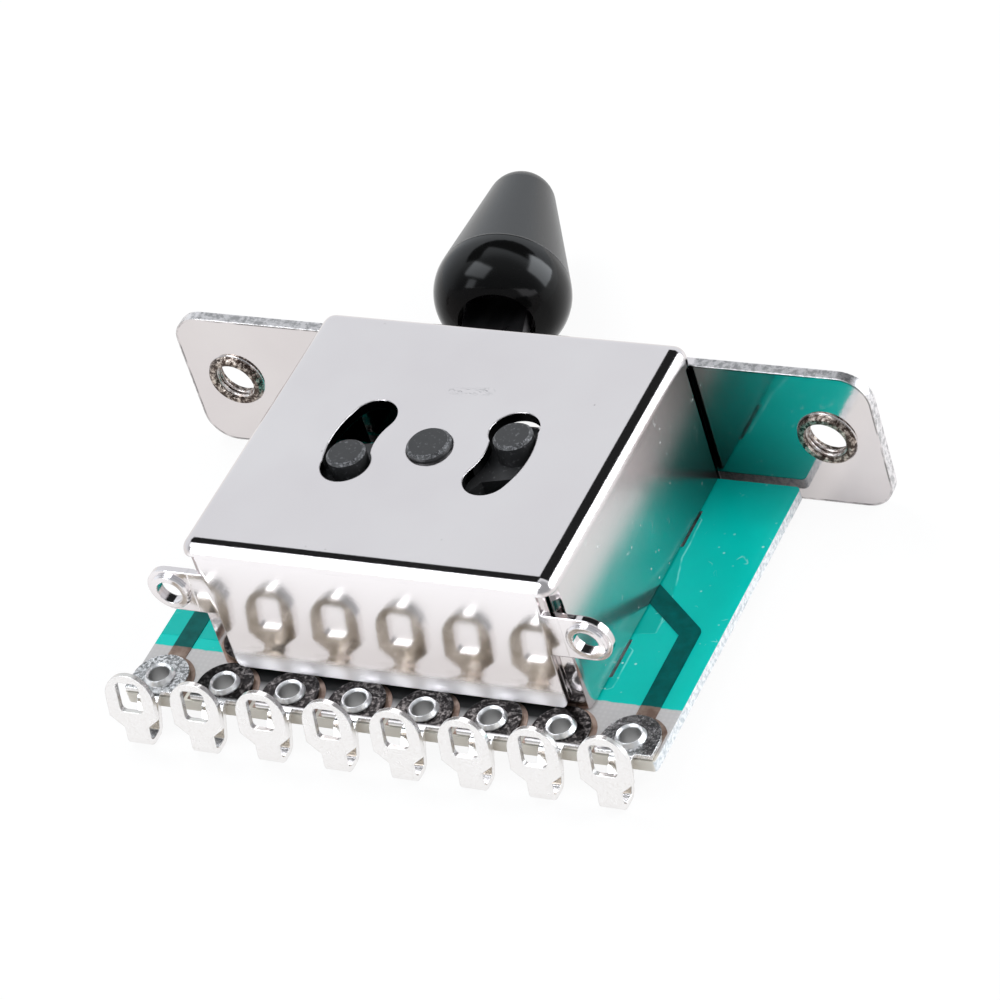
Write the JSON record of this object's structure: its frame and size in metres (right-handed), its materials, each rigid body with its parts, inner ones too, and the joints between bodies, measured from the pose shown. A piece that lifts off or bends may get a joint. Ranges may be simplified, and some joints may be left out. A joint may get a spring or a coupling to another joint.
{
  "type": "guitar pickup selector switch",
  "caption": "Lever switch on a slotted mounting plate, with a folded metal housing, a circuit board and a row of folded solder lugs along its front edge.",
  "frame": {"origin": "middle of the mounting plate's outer face, halfway between the two screw holes", "axes": "+X along the plate, +Y out of the plate's outer face, the way the lever points, +Z out of the housing's big face"},
  "size_m": [0.0484, 0.0479, 0.0126],
  "materials": {
    "plated_steel": "satin",
    "board_laminate": "semi-gloss",
    "etched_copper": "satin",
    "rivet_metal": "satin",
    "lug_metal": "satin",
    "rotor_plastic": "matte",
    "blade_steel": "satin",
    "tip_plastic": "semi-gloss",
    "contact_bronze": "satin",
    "ball_steel": "polished",
    "spring_steel": "satin",
    "detent_plastic": "matte"
  },
  "bodies": {
    "switch_frame": {"housing": "plated_steel", "circuit_board": "board_laminate", "copper_nets_left": "etched_copper", "copper_nets_right": "etched_copper", "lug_rivets": "rivet_metal", "detent_block": "detent_plastic", "solder_lug_1": "lug_metal", "solder_lug_2": "lug_metal", "solder_lug_3": "lug_metal", "solder_lug_4": "lug_metal", "solder_lug_5": "lug_metal", "solder_lug_6": "lug_metal", "solder_lug_7": "lug_metal", "solder_lug_8": "lug_metal"},
    "lever_assembly": {"rotor": "rotor_plastic", "lever": "blade_steel", "lever_tip": "tip_plastic", "wiper_left": "contact_bronze", "wiper_right": "contact_bronze", "detent_spring": "spring_steel"},
    "ball": {"detent_ball": "ball_steel"}
  },
  "joints": [
    {"name": "lever_swing", "type": "hinge", "parent": "switch_frame", "child": "lever_assembly", "pos_m": [0, -0.01134, 0], "axis": [0, 0, 1], "range_deg": [-32, 0]},
    {"name": "ball_travel", "type": "slide", "parent": "lever_assembly", "child": "ball", "axis": [-0.2756, 0.9613, 0], "range_m": [0, 0.0002], "deforming": ["detent_spring"]}
  ]
}
